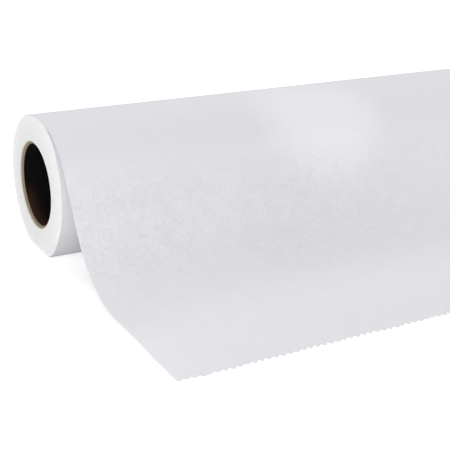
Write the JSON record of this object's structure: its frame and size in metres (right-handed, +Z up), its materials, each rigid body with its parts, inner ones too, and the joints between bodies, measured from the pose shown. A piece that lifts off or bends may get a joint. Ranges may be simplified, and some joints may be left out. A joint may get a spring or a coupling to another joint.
{
  "type": "exam table paper roll",
  "caption": "White paper roll on a card core, lying on its side, with its free end drawn over the top, falling forward and laid flat to a torn, toothed edge.",
  "frame": {"origin": "on the core's axis, half way along the roll", "axes": "+X along the roll's axis, -Y towards the sheet's free end, +Z up from the surface that the roll lies on"},
  "size_m": [0.5334, 0.1759, 0.0635],
  "materials": {
    "core_board": "matt grey-brown board, spiral wound, with a near-black inner ply",
    "paper": "matt white tissue-like paper with a fine mottled crinkle"
  },
  "bodies": {
    "root": {"core_tube": "core_board", "paper_roll": "paper"}
  },
  "joints": []
}
